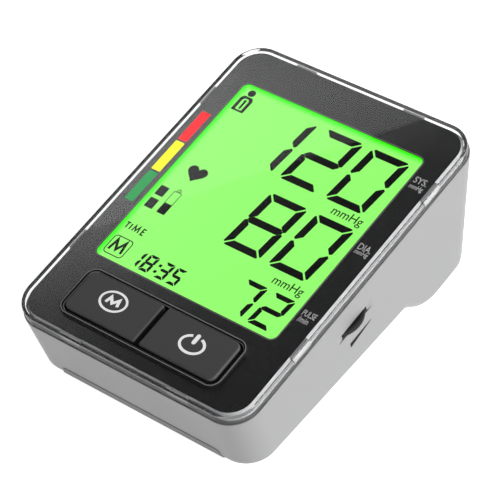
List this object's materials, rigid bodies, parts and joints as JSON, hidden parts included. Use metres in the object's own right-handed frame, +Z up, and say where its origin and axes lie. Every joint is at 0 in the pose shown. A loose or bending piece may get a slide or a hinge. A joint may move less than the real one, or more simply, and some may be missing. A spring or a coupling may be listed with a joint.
{
  "type": "upper arm blood pressure monitor",
  "caption": "Tabletop cuff pressure monitor with a tilted glossy face, large display, two press keys, side thumb wheel, air socket and a battery hump with a hinged door.",
  "frame": {"origin": "on the table under the middle of the whole monitor", "axes": "+X to the right of the user, +Y to the back of the monitor, +Z up"},
  "size_m": [0.1176, 0.156, 0.0651],
  "materials": {
    "case_grey": "fine satin moulded",
    "clear_plastic": "clear polished",
    "panel_black": "back printed black",
    "frame_grey": "satin",
    "well_black": "polished",
    "key_black": "fine satin",
    "switch_black": "matt",
    "display_green": "lit display glass",
    "diffuser_white": "milky",
    "rubber_dark": "matt",
    "board_green": "solder mask",
    "bright_steel": "plated",
    "wheel_black": "notched",
    "magnet_grey": "sintered",
    "silicone": "translucent",
    "port_grey": "satin",
    "cone_paper": "paper",
    "foot_grey": "matt soft",
    "cell_jacket": "printed sleeve"
  },
  "bodies": {
    "case": {"air_manifold": "diffuser_white", "air_port": "port_grey", "battery_cell_1": "cell_jacket", "battery_cell_2": "cell_jacket", "battery_cell_3": "cell_jacket", "battery_cell_4": "cell_jacket", "battery_contacts": "bright_steel", "battery_springs": "bright_steel", "board_screws": "bright_steel", "bottom_case": "case_grey", "case_screws": "bright_steel", "clear_cover": "clear_plastic", "control_chip": "switch_black", "face_mask": "panel_black", "front_foot": "foot_grey", "key_well": "well_black", "lcd_backlight": "diffuser_white", "lcd_contact_strip": "rubber_dark", "lcd_glass": "display_green", "lcd_holder": "frame_grey", "loudspeaker": "bright_steel", "main_board": "board_green", "memory_switch": "switch_black", "port_tube": "silicone", "power_socket": "bright_steel", "power_switch": "switch_black", "pressure_sensor": "switch_black", "pump_cushion": "rubber_dark", "pump_driver_chip": "switch_black", "pump_head": "well_black", "pump_magnets": "magnet_grey", "pump_motor_can": "bright_steel", "pump_tube": "silicone", "rear_feet": "foot_grey", "sensor_tube": "silicone", "speaker_cone": "cone_paper", "top_frame": "frame_grey", "valve_body": "bright_steel", "valve_tube": "silicone", "volume_control": "bright_steel"},
    "memory_key": {"memory_key": "key_black", "memory_switch_button": "switch_black"},
    "power_key": {"power_key": "key_black", "power_switch_button": "switch_black"},
    "volume_wheel": {"volume_wheel": "wheel_black", "volume_spindle": "bright_steel"},
    "battery_door": {"battery_door": "case_grey"},
    "pump_rotor": {"pump_rotor": "bright_steel"},
    "valve_core": {"valve_core": "bright_steel"}
  },
  "joints": [
    {"name": "memory_key_press", "type": "slide", "parent": "case", "child": "memory_key", "axis": [0, 0.1917, -0.9815], "range_m": [0, 0.0008], "stiffness_N_per_m": 1500},
    {"name": "power_key_press", "type": "slide", "parent": "case", "child": "power_key", "axis": [0, 0.1917, -0.9815], "range_m": [0, 0.0008], "stiffness_N_per_m": 1500},
    {"name": "volume_turn", "type": "hinge", "parent": "case", "child": "volume_wheel", "pos_m": [0.04781, -0.00705, 0.03053], "axis": [0, -0.1917, 0.9815], "range_deg": [-135, 135]},
    {"name": "battery_door_swing", "type": "hinge", "parent": "case", "child": "battery_door", "pos_m": [-0.00081, 0.03726, 0.00371], "axis": [-1, 0, 0], "range_deg": [0, 70]},
    {"name": "pump_spin", "type": "hinge", "parent": "case", "child": "pump_rotor", "pos_m": [0.03219, 0.00802, 0.02431], "axis": [1, 0, 0], "continuous": true},
    {"name": "valve_pull", "type": "slide", "parent": "case", "child": "valve_core", "axis": [0, 0.9815, 0.1917], "range_m": [0, 0.0008], "stiffness_N_per_m": 300}
  ]
}
